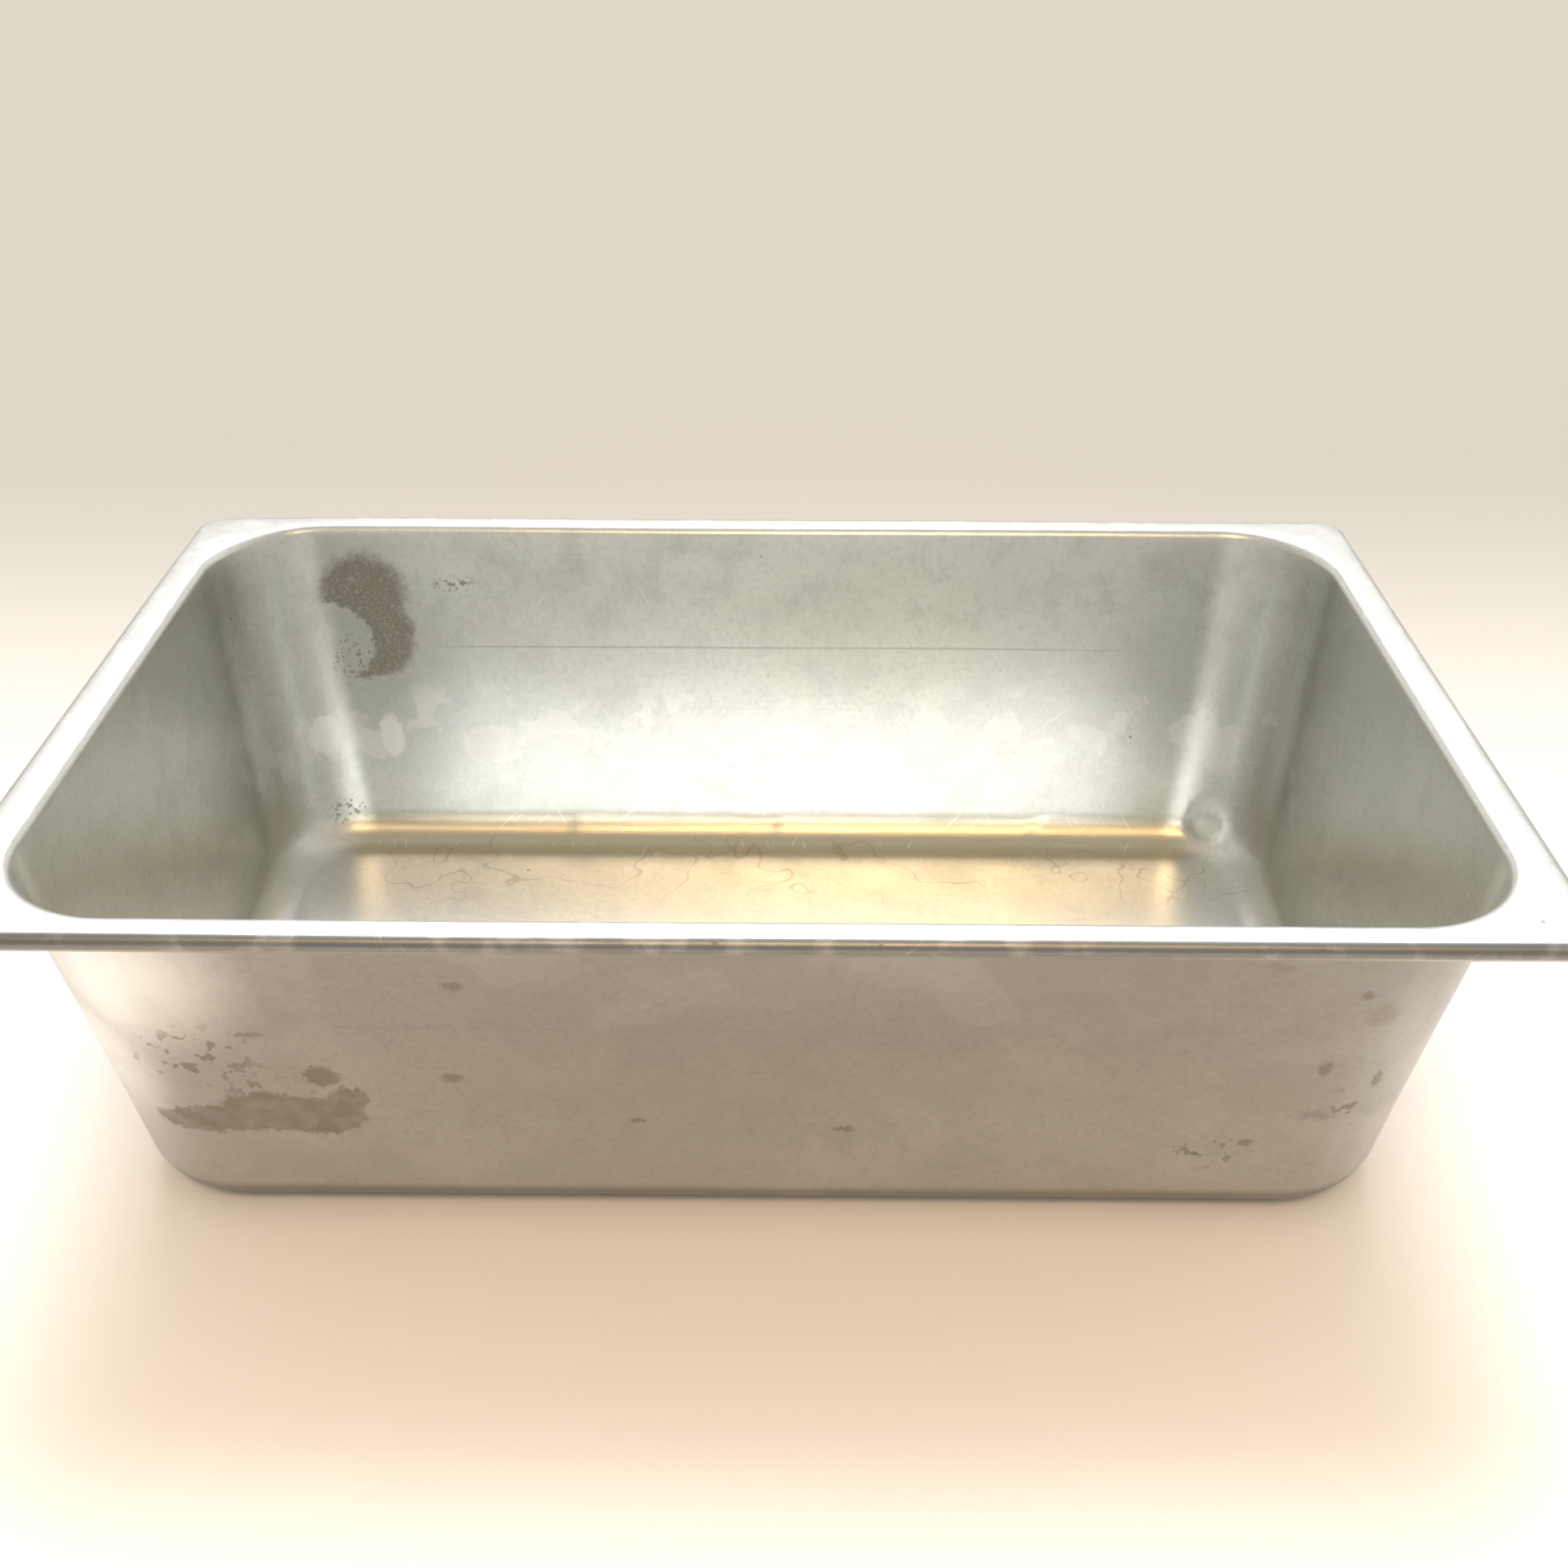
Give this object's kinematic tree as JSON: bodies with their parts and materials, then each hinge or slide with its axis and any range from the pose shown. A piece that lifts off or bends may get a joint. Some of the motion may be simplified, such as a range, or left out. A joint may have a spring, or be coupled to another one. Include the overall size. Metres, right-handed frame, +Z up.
{
  "type": "instrument tray",
  "caption": "Deep one-piece stainless steel tray: sloping walls, rounded corners and a flat flange with a rolled edge; holds and soaks instruments.",
  "frame": {"origin": "centre of the base, on the plane that the tray rests on", "axes": "+X along the long side, +Y across the tray towards one long wall, +Z up out of the mouth"},
  "size_m": [0.53, 0.325, 0.155],
  "materials": {
    "stainless": "satin, worn and water stained"
  },
  "bodies": {
    "root": {"drawn_pan": "stainless"}
  },
  "joints": []
}
